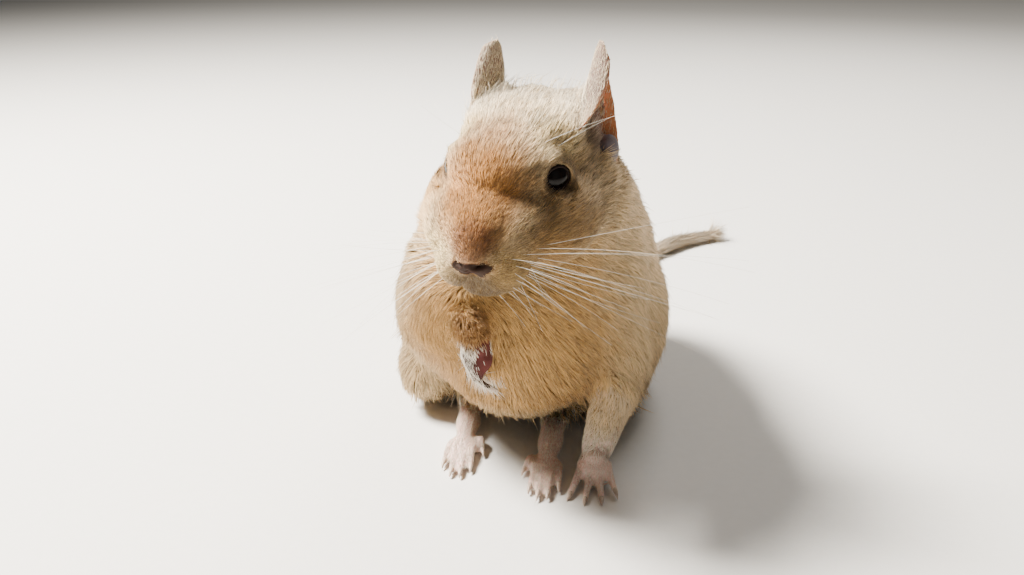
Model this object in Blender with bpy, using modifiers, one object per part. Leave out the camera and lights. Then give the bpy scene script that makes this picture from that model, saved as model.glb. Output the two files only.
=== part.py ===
"""Life-size sand-coloured degu, a small rodent, sitting with its right forepaw raised.

Metres, +Z up. The animal faces -Y, its left side is +X, and it rests on the floor, z = 0.
Sizes below are in millimetres on the body's own axes: x = 0 is its middle plane and y = 0
is under the back of its chest. The last step centres the finished body over the origin.
"""

import math
import random

import bmesh
import bpy
from mathutils import Matrix, Vector

MM = 0.001
GAP = 0.3  # clear space between parts that touch

# Head, on its own axes: origin midway between the eyes, -y to the nose, +z up.
HEAD_PLACE = (0.7, -38.4, 80.2)
HEAD_YAW = 9.0  # degrees towards the animal's right
HEAD_PITCH = 13.5  # degrees nose down
EYE_PLACE = (10.3, -0.6, 0.4)
EYE_RADIUS = 4.0
EYE_LOOK = (0.76, -0.58, 0.28)
LID_RADIUS = 3.85
LID_HEIGHT = 0.73  # height of the lids' opening over its length
NOSTRIL_PLACE = (1.7, -25.6, -8.6)

# Ears: a leaf of skin bent into a cup that opens to the side. Where there are two values,
# the first is at the foot and the second at the tip. The left ear is laid back and twisted.
EAR_WALL = 1.1
EAR_LEFT = {
    "root": (4.0, 18.0, -1.5),
    "height": 27.6,
    "half_width": 10.8,
    "narrowing": (0.32, 0.5),
    "bend": (150.0, 125.0),  # degrees of cup
    "twist": (-58.0, 34.0),  # degrees by which the cup opens to the rear
    "lean_back": 8.0,
    "lean_out": 27.0,
    "flare": 7.2,  # outwards, at the foot
    "curl": 0.0,  # outwards, at the tip
    "drop": 2.0,
    "lobe": 4.8,
    "lobe_out": 6.0,
}
EAR_RIGHT = {
    "root": (9.4, 18.0, -3.0),
    "height": 25.2,
    "half_width": 9.4,
    "narrowing": (0.25, 0.42),
    "bend": (150.0, 165.0),
    "twist": (0.0, 0.0),
    "lean_back": 12.0,
    "lean_out": -4.0,
    "flare": 0.0,
    "curl": 1.8,
    "drop": 1.4,
    "lobe": 4.0,
    "lobe_out": 0.0,
}

# Legs. Joints are places in body axes.
SHOULDER_LEFT = (17.0, -16.0, 46.0)
ELBOW_LEFT = (26.5, -17.0, 26.0)
WRIST_LEFT = (21.8, -30.0, 4.6)
SHOULDER_RIGHT = (-19.0, -16.0, 48.0)
ELBOW_RIGHT = (-24.0, -25.0, 36.0)
WRIST_RIGHT = (-4.8, -47.5, 41.6)
HAND_UP = (0.4, 0.05, 0.95)  # raised hand, from its fingers to its wrist
HAND_BACK = (-0.7, -0.7, 0.1)  # raised hand, out of the back of the hand
HAND_LENGTH = 5.4
FINGER_LENGTH = 8.6
FINGER_BEND = (0.35, 1.3)  # of the hand's curl, at the first joint and the second
HEEL_LEFT = (8.2, -9.0)
HEEL_RIGHT = (-17.0, -4.0)
FOOT_LENGTH = 36.0
FOOT_WIDTH = 8.6
TOE_LENGTH = 10.5

# Tail: from the rump down to the floor and round to the animal's left.
TAIL_ROUTE = (
    (0.0, 48.0, 16.0),
    (2.0, 65.0, 8.0),
    (9.0, 92.0, 3.9),
    (19.5, 121.0, 3.2),
    (34.0, 147.0, 3.1),
    (50.0, 163.0, 2.9),
)
TAIL_RADII = (7.0, 5.0, 4.0, 3.6, 3.4, 2.6)
BRUSH_LOCKS = 13
BRUSH_LOCK_LENGTH = 15.0

BRUSH_FROM = 0.68  # share of the tail's length at which the brush begins
TAIL_MIDDLE_FROM = 0.34

COAT = (0.62, 0.48, 0.33)
COLOURS = {
    "ear": (0.55, 0.42, 0.37),
    "eye": (0.01, 0.008, 0.007),
    "hand": (0.68, 0.5, 0.44),
    "foot": (0.62, 0.45, 0.39),
    "tail": (0.5, 0.42, 0.36),
}
TRIANGLES = {
    "head": 1640,
    "trunk": 2720,
    "hand": 660,
    "foot": 760,
    "tail": 460,
    "ear": 460,
}


def vec(place):
    return Vector(place) * MM


def clear_scene():
    for old in list(bpy.data.objects):
        bpy.data.objects.remove(old)


def link(name, mesh):
    made = bpy.data.objects.new(name, mesh)
    bpy.context.scene.collection.objects.link(made)
    return made


def baked(piece, name="form"):
    """The piece as a plain mesh in body axes, with its modifiers in it. The piece is removed."""
    bpy.context.view_layer.update()
    seen = piece.evaluated_get(bpy.context.evaluated_depsgraph_get())
    mesh = bpy.data.meshes.new_from_object(seen)
    mesh.transform(piece.matrix_world)
    bpy.data.objects.remove(piece)
    return link(name, mesh)


def use_modifier(piece, kind, **settings):
    modifier = piece.modifiers.new(kind.lower(), kind)
    for key, value in settings.items():
        setattr(modifier, key, value)
    return modifier


def turned(x=0.0, y=0.0, z=0.0):
    """Rotation by degrees about x, then y, then z."""
    return (
        Matrix.Rotation(math.radians(z), 4, "Z")
        @ Matrix.Rotation(math.radians(y), 4, "Y")
        @ Matrix.Rotation(math.radians(x), 4, "X")
    )


def head_frame():
    """Matrix from the head's axes to the body's."""
    return Matrix.Translation(vec(HEAD_PLACE)) @ turned(z=-HEAD_YAW) @ turned(x=HEAD_PITCH)


def ball(place, radii, turn=(0, 0, 0), frame=None, segments=24):
    """An ellipsoid. turn is in degrees about x, y and z."""
    bpy.ops.mesh.primitive_uv_sphere_add(segments=segments, ring_count=segments // 2, radius=1)
    made = bpy.context.active_object
    size = Matrix.Diagonal((radii[0] * MM, radii[1] * MM, radii[2] * MM, 1))
    base = frame or Matrix.Identity(4)
    made.matrix_world = base @ Matrix.Translation(vec(place)) @ turned(*turn) @ size
    return baked(made)


def pair(place, radii, turn=(0, 0, 0), frame=None):
    """The same ellipsoid on the left and, mirrored, on the right."""
    x, y, z = place
    return [
        ball(place, radii, turn, frame),
        ball((-x, y, z), radii, (turn[0], -turn[1], -turn[2]), frame),
    ]


def block(place, size, turn=(0, 0, 0), frame=None):
    """A box by its middle and full sizes."""
    bpy.ops.mesh.primitive_cube_add(size=1)
    made = bpy.context.active_object
    stretch = Matrix.Diagonal((size[0] * MM, size[1] * MM, size[2] * MM, 1))
    base = frame or Matrix.Identity(4)
    made.matrix_world = base @ Matrix.Translation(vec(place)) @ turned(*turn) @ stretch
    return baked(made)


def smooth_route(places, count):
    """count points on a smooth curve through the places (Catmull-Rom)."""
    p = [Vector(q) for q in places]
    p = [p[0] * 2 - p[1]] + p + [p[-1] * 2 - p[-2]]
    spans = len(p) - 3
    route = []
    for i in range(count):
        at = i / (count - 1) * spans
        k = min(int(at), spans - 1)
        t = at - k
        a, b, c, d = p[k : k + 4]
        straight = 2 * b + (c - a) * t
        bend = (2 * a - 5 * b + 4 * c - d) * t * t + (3 * b - a - 3 * c + d) * t ** 3
        route.append((straight + bend) * 0.5)
    return route


def between(values, share):
    """The value at a share (0 to 1) of the way along evenly spaced values."""
    at = share * (len(values) - 1)
    k = min(int(at), len(values) - 2)
    return values[k] + (values[k + 1] - values[k]) * (at - k)


def limb(places, radii, count=10, sides=2, frame=None):
    """A round tapered limb through the places, with rounded ends."""
    curve = bpy.data.curves.new("limb", "CURVE")
    curve.dimensions = "3D"
    curve.bevel_depth = MM
    curve.bevel_resolution = sides
    curve.use_fill_caps = True
    route = smooth_route(places, count)
    spline = curve.splines.new("POLY")
    spline.points.add(count - 1)
    for i, (point, place) in enumerate(zip(spline.points, route)):
        point.co = (*(place * MM), 1)
        point.radius = between(radii, i / (count - 1))
    made = link("limb", curve)
    if frame:
        made.matrix_world = frame
    made = baked(made)
    around = 4 * sides + 4
    ends = [ball(route[0], (radii[0],) * 3, frame=frame, segments=around)]
    ends.append(ball(route[-1], (radii[-1],) * 3, frame=frame, segments=around))
    return [made, *ends]


def groove(places, radii, frame):
    """A thin closed tube to cut a line with."""
    pieces = limb(places, radii, 12, 1, frame)
    for end in pieces[1:]:
        bpy.data.objects.remove(end)
    build = bmesh.new()
    build.from_mesh(pieces[0].data)
    bmesh.ops.remove_doubles(build, verts=build.verts, dist=0.00001)
    build.to_mesh(pieces[0].data)
    build.free()
    return pieces[0]


def joined(name, pieces):
    """All the pieces as one object."""
    build = bmesh.new()
    for piece in pieces:
        build.from_mesh(piece.data)
        bpy.data.objects.remove(piece)
    mesh = bpy.data.meshes.new(name)
    build.to_mesh(mesh)
    build.free()
    return link(name, mesh)


def is_closed(body):
    build = bmesh.new()
    build.from_mesh(body.data)
    closed = all(edge.is_manifold for edge in build.edges)
    build.free()
    return closed


def thinned(body, triangles):
    """The body with about that many triangles, still closed."""
    now = sum(len(face.vertices) - 2 for face in body.data.polygons)
    if now <= triangles:
        return body
    for attempt in range(12):
        trial = copied(body, "trial")
        ratio = triangles * (1 + 0.013 * attempt) / now
        use_modifier(trial, "DECIMATE", ratio=ratio, use_collapse_triangulate=True)
        trial = baked(trial)
        if is_closed(trial):
            break
        if attempt < 11:
            bpy.data.objects.remove(trial)
    name = body.name
    bpy.data.objects.remove(body)
    trial.name = name
    return trial


def melt(name, pieces, voxel, rounds, triangles):
    """One closed, smoothed body out of overlapping forms."""
    body = joined(name, pieces)
    use_modifier(body, "REMESH", mode="VOXEL", voxel_size=voxel * MM)
    use_modifier(body, "SMOOTH", factor=0.5, iterations=rounds)
    body = baked(body, name)
    return thinned(body, triangles)


def combine(body, others, operation):
    """Boolean of the body with each of the others in turn, applied. The others are removed."""
    for other in others:
        solver = "MANIFOLD" if is_closed(body) and is_closed(other) else "EXACT"
        use_modifier(body, "BOOLEAN", operation=operation, object=other, solver=solver)
        body = baked(body, body.name)
        bpy.data.objects.remove(other)
    return body


def copied(body, name):
    return link(name, body.data.copy())


def largest(body):
    """The body with only its largest closed surface."""
    build = bmesh.new()
    build.from_mesh(body.data)
    build.verts.ensure_lookup_table()
    seen = set()
    groups = []
    for start in build.verts:
        if start in seen:
            continue
        seen.add(start)
        stack = [start]
        group = []
        while stack:
            corner = stack.pop()
            group.append(corner)
            for edge in corner.link_edges:
                other = edge.other_vert(corner)
                if other not in seen:
                    seen.add(other)
                    stack.append(other)
        groups.append(group)
    groups.sort(key=len)
    for group in groups[:-1]:
        bmesh.ops.delete(build, geom=group, context="VERTS")
    build.to_mesh(body.data)
    build.free()
    return body


def grown(body, extra):
    """A copy of the body with its surface moved outwards."""
    copy = copied(body, "grown")
    use_modifier(copy, "DISPLACE", strength=extra * MM, mid_level=0.0)
    return baked(copy)


def part_off(whole, name, region):
    """Cut a named part out of the whole. region(extra) gives a form, grown by extra."""
    part = combine(copied(whole, name), [region(0.0)], "INTERSECT")
    rest = combine(whole, [region(GAP)], "DIFFERENCE")
    return largest(rest), largest(part)


def on_floor(body):
    """The body with a flat underside at floor level."""
    return largest(combine(body, [block((0, 50, -20), (300, 400, 40))], "DIFFERENCE"))


def head_forms():
    frame = head_frame()
    return [
        ball((0, 11, -1), (16.5, 18, 14.5), frame=frame),
        ball((0, 20, -5), (17.5, 15, 15), frame=frame),
        ball((0, 0, 2.5), (13, 14, 9.5), frame=frame),
        ball((0, -9.5, -7), (10.8, 15, 9.8), turn=(10, 0, 0), frame=frame),
        ball((0, -9.5, -2.2), (9, 14, 6.5), turn=(14, 0, 0), frame=frame),
        *pair((4.8, -17.8, -12.0), (5.9, 6.4, 6.5), frame=frame),
        *pair((11.5, 1, -9.5), (9.5, 15, 11), turn=(0, 0, -6), frame=frame),
        *pair((6.8, -9, -6.8), (7.2, 13, 8.4), turn=(8, 0, -8), frame=frame),
        *pair((13, 13, -11), (9.5, 13, 12), frame=frame),
        ball((0, 2, -16.5), (13, 14, 8), frame=frame),
        ball((0, -10.5, -19), (6.4, 9, 4.8), turn=(-8, 0, 0), frame=frame),
        ball((-0.6, -14.3, -17.6), (7.6, 7, 4.7), turn=(-8, 0, 0), frame=frame),
        *pair((8.5, 18.5, 3.4), (8, 10, 8.8), frame=frame),
        ball((0, 18, 3.4), (10, 10, 9.5), frame=frame),
        ball((0, -23.2, -8.9), (4.4, 2.7, 2.3), frame=frame),
        *pair((8.9, -1, 4.2), (4.6, 6.5, 4.2), frame=frame),
        ball((0, 24, -14), (20, 18, 18), frame=frame),
    ]


def trunk_forms():
    return [
        ball((-0.5, 32, 27), (31, 30, 28), segments=40),
        ball((0, 30, 38), (29, 32, 28), segments=40),
        ball((-0.5, 12, 42), (33.5, 37, 33), segments=40),
        ball((-3, -5, 36), (35, 31, 27), segments=40),
        ball((0, -8, 46), (32, 30, 28), segments=40),
        ball((2, -5, 61), (28, 27, 20), segments=40),
        ball((0, -21, 35.5), (24, 20, 26), segments=40),
        ball((3.5, -16, 69), (25, 22, 20), segments=40),
        ball((1, -4, 72), (20, 20, 14), segments=40),
        ball((0, 9, 63), (23, 24, 19), segments=40),
        ball((0, 22, 50), (26, 26, 22), segments=40),
        ball((-8, -28, 42), (20, 14.5, 18), segments=40),
        *limb([(-20, -16, 38), ELBOW_RIGHT, (-13, -38, 39.5)], [9, 8.5, 6]),
        ball((-13, -23, 50), (17, 16, 18), segments=40),
        ball((0, 25, 55), (24, 25, 19), segments=40),
        ball((0, 20, -12), (20.5, 19, 19), frame=head_frame(), segments=40),
        ball((0, 13, -8), (17, 16, 15), frame=head_frame(), segments=40),
        ball((21.5, 18, 23), (16, 30, 24), segments=40),
        ball((-24.5, 14, 24), (17, 29, 25), segments=40),
        ball((24, 4, 11.8), (10, 16, 11), segments=40),
        ball((-30, -1, 12.5), (10, 16, 12), segments=40),
        *limb([SHOULDER_LEFT, ELBOW_LEFT], [12, 9]),
        *limb([SHOULDER_RIGHT, ELBOW_RIGHT], [12, 9]),
    ]


def leg_forms():
    left = (HEEL_LEFT[0], HEEL_LEFT[1] + 1, 8)
    right = (HEEL_RIGHT[0], HEEL_RIGHT[1] + 1, 8)
    wrist = Vector(WRIST_RIGHT)
    bent = wrist + Vector(HAND_UP) * 3.4 + Vector((-3.5, 3.0, 0))
    return [
        *limb([(25, -12, 30), ELBOW_LEFT, (24.5, -23.5, 16), WRIST_LEFT], [9, 8, 5.6, 4.1]),
        *limb([(-20, -16, 38), ELBOW_RIGHT, bent, wrist], [9, 7, 4.5, 4.0]),
        *limb([(25, -2, 9), (15, -3, 8), left], [7, 5.5, 4.3]),
        *limb([(-29, -3, 10), (-24, 0, 9), right], [7, 5.5, 4.3]),
    ]


def finish_head(head):
    """Eyelids, eye sockets, nostrils and the line of the mouth."""
    frame = head_frame()
    rings = []
    hollows = []
    for side in (1, -1):
        eye = Vector((EYE_PLACE[0] * side, EYE_PLACE[1], EYE_PLACE[2]))
        look = Vector((EYE_LOOK[0] * side, EYE_LOOK[1], EYE_LOOK[2])).normalized()
        hollows.append(ball(eye + look * EYE_RADIUS * 1.25, (4.2,) * 3, frame=frame, segments=20))
        bpy.ops.mesh.primitive_torus_add(
            major_radius=LID_RADIUS * MM, minor_radius=0.9 * MM,
            major_segments=24, minor_segments=8,
        )
        ring = bpy.context.active_object
        aim = look.to_track_quat("Z", "Y").to_matrix().to_4x4()
        middle = eye + look * (EYE_RADIUS * 0.7)
        oval = Matrix.Diagonal((1.0, LID_HEIGHT, 1.0, 1.0))
        ring.matrix_world = frame @ Matrix.Translation(vec(middle)) @ aim @ oval
        rings.append(baked(ring))
    head = combine(head, hollows, "DIFFERENCE")
    head = combine(head, rings, "UNION")
    cuts = []
    for side in (1, -1):
        eye = (EYE_PLACE[0] * side, EYE_PLACE[1], EYE_PLACE[2])
        cuts.append(ball(eye, (EYE_RADIUS + GAP,) * 3, frame=frame, segments=24))
        x, y, z = NOSTRIL_PLACE
        cuts.append(ball((x * side, y, z), (0.55, 1.6, 0.8), (0, 25 * side, 20 * side), frame, 12))
        lip = [(0, -24.0, -12.4), (2.2 * side, -22.8, -16.2), (5.8 * side, -18.2, -18.2)]
        lip.append((8.8 * side, -12.0, -16.6))
        skin = [head.closest_point_on_mesh(frame @ vec(place))[1] for place in lip]
        lip = [frame.inverted() @ place / MM for place in skin]
        cuts.append(groove(lip, [0.35, 0.6, 0.55, 0.35], frame))
    return largest(combine(head, cuts, "DIFFERENCE"))


def make_eye(side):
    eye = (EYE_PLACE[0] * side, EYE_PLACE[1], EYE_PLACE[2])
    return ball(eye, (EYE_RADIUS,) * 3, frame=head_frame(), segments=18)


def make_ear(side, beside):
    """A cupped leaf: its hollow faces outwards, its rear rim reaches down into a lobe."""
    shape = EAR_LEFT if side > 0 else EAR_RIGHT
    rows = 14
    columns = 10
    build = bmesh.new()
    grid = []
    for i in range(rows + 1):
        h = i / rows
        bend = math.radians(between(shape["bend"], h))
        twist = math.radians(between(shape["twist"], h))
        start, power = shape["narrowing"]
        half = shape["half_width"] * math.sin(math.pi * between((start, 0.965), h)) ** power
        bow = 2 * half / bend
        keel = shape["curl"] * h ** 6 + shape["flare"] * (1 - h) ** 1.6
        row = []
        for j in range(columns + 1):
            v = j / columns * 2 - 1
            deep = bow * (1 - math.cos(v * bend / 2))
            wide = bow * math.sin(v * bend / 2)
            out = deep * math.cos(twist) - wide * math.sin(twist) + keel
            out += shape["lobe_out"] * max(0.0, v) * (1 - h) ** 4
            back = deep * math.sin(twist) + wide * math.cos(twist)
            lobe = shape["lobe"] * max(0.0, v) * (1 - h) ** 2
            up = h * shape["height"] - shape["drop"] * v * v * h ** 3 - lobe
            row.append(build.verts.new(Vector((out * side, back, up)) * MM))
        grid.append(row)
    for low, high in zip(grid, grid[1:]):
        for j in range(columns):
            corners = (low[j], low[j + 1], high[j + 1], high[j])
            build.faces.new(corners if side > 0 else corners[::-1])
    mesh = bpy.data.meshes.new("ear")
    build.to_mesh(mesh)
    build.free()
    ear = link("ear", mesh)
    x, y, z = shape["root"]
    lean = turned(x=-shape["lean_back"], y=shape["lean_out"] * side)
    frame = head_frame() @ Matrix.Translation(vec((x * side, y, z))) @ lean
    ear.matrix_world = frame
    use_modifier(ear, "SOLIDIFY", thickness=EAR_WALL * MM, offset=0.0)
    ear = baked(ear)
    root = ball((-1.5 * side, 0, -1), (3.5, 6, 5), frame=frame)
    ear = melt("ear", [ear, root], 0.4, 3, TRIANGLES["ear"])
    return largest(combine(ear, [grown(form, GAP) for form in beside], "DIFFERENCE"))


def hand_place_left():
    return Matrix.Translation(vec(WRIST_LEFT)) @ turned(x=20, z=6)


def hand_place_right():
    """Wrist bent, fingers down, the palm to the animal's left."""
    back = Vector(HAND_BACK).normalized()
    rear = Vector(HAND_UP)
    rear = (rear - back * rear.dot(back)).normalized()
    across = rear.cross(back)
    axes = Matrix((across, rear, back)).transposed().to_4x4()
    return Matrix.Translation(vec(WRIST_RIGHT)) @ axes


def hand_region(frame):
    return lambda extra: block((0, -15 + extra, 0), (24, 30, 24), frame=frame)


def wrist_region(frame, width):
    return lambda extra: block((0, -2.5 + extra, 0), (width, 5, width), frame=frame)


def make_hand(name, side, frame, curl):
    """Hand on its own axes: wrist at the origin, fingers to -y, palm down."""
    forms = [
        ball((0, -3.2, -0.3 - curl * 0.022), (4.7, 4.4, 2.5 + curl * 0.026), frame=frame),
        *limb([(0, 5, 0), (0, -1.5, -0.2)], [4.1, 3.5], 5, 2, frame),
        ball((-2.6 * side, -2.0, -1.5), (1.5, 1.7, 1.3), frame=frame),
        ball((2.4 * side, -1.6, -1.5), (1.5, 1.7, 1.3), frame=frame),
    ]
    for k in range(4):
        spread = (k - 1.5) * side
        reach = FINGER_LENGTH * (1.0, 1.05, 0.98, 0.78)[k] * (1 - 0.0035 * curl)
        knuckle = Vector((spread * 2.3, -HAND_LENGTH + abs(spread) * 0.9, 0))
        aim = Vector((spread * (0.18 - curl * 0.002), -1, 0)).normalized() * reach / 2
        middle = knuckle + turned(x=curl * FINGER_BEND[0]).to_3x3() @ aim
        tip = middle + turned(x=curl * FINGER_BEND[1]).to_3x3() @ aim
        forms += limb([knuckle, middle, tip], [1.3, 1.1, 0.95], 8, 1, frame)
        ahead = (tip - middle).normalized()
        claw = tip + turned(x=12).to_3x3() @ ahead * 2.4
        forms += limb([tip, claw], [0.62, 0.3], 4, 1, frame)
    hand = melt(name, forms, 0.3, 1, TRIANGLES["hand"])
    hand = combine(hand, [hand_region(frame)(0.0)], "INTERSECT")
    return largest(hand)


def foot_frame(heel, splay):
    return Matrix.Translation(vec((heel[0], heel[1], 0))) @ turned(z=splay)


def foot_region(frame):
    return lambda extra: block((0, -27, -4 + extra), (18, 70, 20), frame=frame)


def ankle_region(frame):
    return lambda extra: block((0, 0, -4 + extra), (10, 11, 20), frame=frame)


def make_foot(name, side, frame):
    """Hind foot flat on the floor, heel at the origin of its axes, toes to -y."""
    sole = FOOT_LENGTH - TOE_LENGTH - 0.5
    forms = [
        *limb([(0, 0, 3.6), (0, -sole * 0.5, 3.2), (0, -sole, 2.0)], [3.9, 3.1, 2.2], 8, 2, frame),
        *limb([(0, 1, 9), (0, 0, 4)], [3.9, 3.9], 5, 2, frame),
        ball((0, -sole + 1, 1.7), (FOOT_WIDTH / 2, 5.2, 2.2), frame=frame),
        ball((0, -sole * 0.5, 2.4), (3.5, 9, 3.0), frame=frame),
    ]
    for k in range(5):
        spread = (k - 2.2) * side
        reach = TOE_LENGTH * (0.45, 0.86, 1.0, 0.98, 0.8)[k]
        start = Vector((spread * 1.85, -sole + (4.6, 1.4, 0.4, 0.6, 2.4)[k], 1.6))
        end = Vector((spread * 2.35, start.y - reach, 1.0))
        knee = (start + end) / 2 + Vector((0, 0, 1.1))
        forms += limb([start, knee, end], [1.3, 1.1, 0.95], 7, 1, frame)
        ahead = (end - start).normalized()
        claw = end + ahead * 2.6 + Vector((0, 0, -0.3))
        forms += limb([end + Vector((0, 0, 0.3)), claw], [0.7, 0.32], 4, 1, frame)
    foot = melt(name, forms, 0.32, 1, TRIANGLES["foot"])
    foot = combine(foot, [foot_region(frame)(0.0)], "INTERSECT")
    return on_floor(foot)


def make_locks():
    """Flat tapered locks of the tail's brush, bending outwards near the tip."""
    chance = random.Random(5)
    count = 80
    route = smooth_route(TAIL_ROUTE, count)
    steps = 5
    locks = []
    for k in range(BRUSH_LOCKS):
        share = BRUSH_FROM + (0.99 - BRUSH_FROM) * k / (BRUSH_LOCKS - 1)
        i = int(share * (count - 1))
        place = route[i]
        along = (route[min(i + 1, count - 1)] - route[i - 2]).normalized()
        angle = k * 2.4 + chance.uniform(-0.3, 0.3)
        beside = along.cross(Vector((0, 0, 1))).normalized()
        out = beside * math.cos(angle) + beside.cross(along) * math.sin(angle) * 0.8
        across = along.cross(out).normalized()
        length = BRUSH_LOCK_LENGTH * chance.uniform(0.8, 1.1)
        build = bmesh.new()
        rings = []
        for j in range(steps + 1):
            t = j / steps
            middle = place + along * length * t + out * (2.2 + 2.4 * t ** 1.5)
            middle.z = max(middle.z, 1.4)
            wide = 1.9 * (1 - t) ** 0.7 + 0.15
            thick = 0.8 * (1 - t) ** 0.7 + 0.12
            corners = (across * wide, out * thick, -across * wide, -out * thick)
            rings.append([build.verts.new((middle + corner) * MM) for corner in corners])
        for low, high in zip(rings, rings[1:]):
            for j in range(4):
                build.faces.new((low[j], low[(j + 1) % 4], high[(j + 1) % 4], high[j]))
        build.faces.new(rings[0][::-1])
        build.faces.new(rings[-1])
        bmesh.ops.recalc_face_normals(build, faces=build.faces)
        mesh = bpy.data.meshes.new("lock")
        build.to_mesh(mesh)
        build.free()
        locks.append(link("lock", mesh))
    return locks


def tail_beyond(share, ahead=0.0):
    """A block over all of the tail beyond a share of its length."""
    count = 80
    route = smooth_route(TAIL_ROUTE, count)
    i = int(share * (count - 1))
    along = (route[i + 1] - route[i - 1]).normalized()
    aim = along.to_track_quat("Y", "Z").to_matrix().to_4x4()
    frame = Matrix.Translation(vec(route[i])) @ aim
    return block((0, 100 + ahead, 0), (300, 200, 100), frame=frame)


def make_tail(torso):
    tail = melt("tail_base", limb(TAIL_ROUTE, TAIL_RADII, 26, 2), 0.7, 4, TRIANGLES["tail"])
    rest, brush = part_off(tail, "tail_brush", lambda extra: tail_beyond(BRUSH_FROM, -extra))
    base, middle = part_off(rest, "tail_mid", lambda extra: tail_beyond(TAIL_MIDDLE_FROM, -extra))
    brush = combine(brush, make_locks(), "UNION")
    base = combine(base, [grown(torso, GAP)], "DIFFERENCE")
    return [on_floor(largest(base)), on_floor(middle), on_floor(brush)]


def egg(place, radii, turn=(0, 0, 0)):
    return lambda extra: ball(place, [r + extra for r in radii], turn, segments=16)


def finish(parts):
    """Name, colour and gather the parts, and centre the body over the origin."""
    home = bpy.data.collections.new("degu")
    bpy.context.scene.collection.children.link(home)
    corners = [corner.co for part in parts for corner in part.data.vertices]
    low = [min(corner[k] for corner in corners) for k in range(3)]
    high = [max(corner[k] for corner in corners) for k in range(3)]
    centre = Vector(((low[0] + high[0]) / 2, (low[1] + high[1]) / 2, low[2]))
    for part in parts:
        part.data.transform(Matrix.Translation(-centre))
        for owner in list(part.users_collection):
            owner.objects.unlink(part)
        home.objects.link(part)
        part.data.materials.clear()
        tint = next((COLOURS[word] for word in part.name.split("_") if word in COLOURS), COAT)
        material = bpy.data.materials.new(part.name)
        material.use_nodes = True
        shader = material.node_tree.nodes["Principled BSDF"]
        shader.inputs["Base Color"].default_value = (*tint, 1)
        shader.inputs["Roughness"].default_value = 0.08 if part.name.startswith("eye") else 0.8
        part.data.materials.append(material)
        for face in part.data.polygons:
            face.use_smooth = True
        part.data.set_sharp_from_angle(angle=math.radians(42))
    return centre


def from_face(radius):
    """A great ball about a point before the forehead: it reaches back over head and neck."""
    return lambda extra: ball((0, -30, 30), (radius + extra,) * 3, frame=head_frame(), segments=48)


def main():
    clear_scene()
    trunk = melt("trunk", trunk_forms(), 1.5, 40, 10 ** 9)
    whole = melt("whole", [trunk] + leg_forms() + head_forms(), 0.65, 12, 10 ** 9)
    body, head = part_off(whole, "head", from_face(61))
    head = combine(thinned(head, TRIANGLES["head"]), [from_face(61)(0.0)], "INTERSECT")
    head = finish_head(head)
    body = combine(thinned(body, TRIANGLES["trunk"]), [from_face(61)(GAP)], "DIFFERENCE")
    body.name = "torso"
    parts = [head]
    for name, side in (("left", 1), ("right", -1)):
        ear = make_ear(side, [head, body])
        ear.name = f"ear_{name}"
        eye = make_eye(side)
        eye.name = f"eye_{name}"
        parts += [ear, eye]
    regions = {
        "forearm_left": egg((24.5, -27, 12), (9, 12, 14), (-25, 0, 0)),
        "upper_arm_left": egg((31, -14, 38), (13, 14, 17)),
        "hind_leg_left": egg((31, 14, 20), (18, 32, 26)),
        "forearm_right": egg((-14, -41, 42), (17, 10, 10), (0, -10, -42)),
        "upper_arm_right": egg((-34, -15, 44), (14, 15, 17)),
        "hind_leg_right": egg((-34, 9, 20), (18, 35, 26)),
    }
    for name, side, heel, splay, hand_at, curl in (
        ("left", 1, HEEL_LEFT, 3, hand_place_left(), -4),
        ("right", -1, HEEL_RIGHT, 8, hand_place_right(), 42),
    ):
        hand = make_hand(f"hand_{name}", side, hand_at, curl)
        if side > 0:
            hand = on_floor(hand)
        foot_at = foot_frame(heel, splay)
        foot = make_foot(f"hind_foot_{name}", side, foot_at)
        clear = [wrist_region(hand_at, 9 if side < 0 else 13)(GAP), grown(hand, GAP)]
        clear += [ankle_region(foot_at)(GAP), grown(foot, GAP)]
        body = largest(combine(body, clear, "DIFFERENCE"))
        parts += [hand, foot]
        for kind in ("forearm", "upper_arm", "hind_leg"):
            part_name = f"{kind}_{name}"
            body, part = part_off(body, part_name, regions[part_name])
            parts.append(on_floor(part))
    body, neck = part_off(body, "neck", from_face(73))
    body = on_floor(body)
    parts += [neck, *make_tail(body), body]
    return finish(parts)


centre = main()
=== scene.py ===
"""Sand-coloured degu, life size: skin, coat, whiskers, claws, eyes, light and camera.

Metres, +Z up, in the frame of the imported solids. Places written in millimetres are on one of
two sets of axes. Body axes: x = 0 is the middle plane, -y is forwards, z = 0 is the floor.
Head axes: the origin is midway between the eyes, -y is to the nose, +z is up.
"""

import math

import bmesh
import bpy
import numpy as np
from mathutils import Matrix, Vector, kdtree
from mathutils.bvhtree import BVHTree


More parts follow.
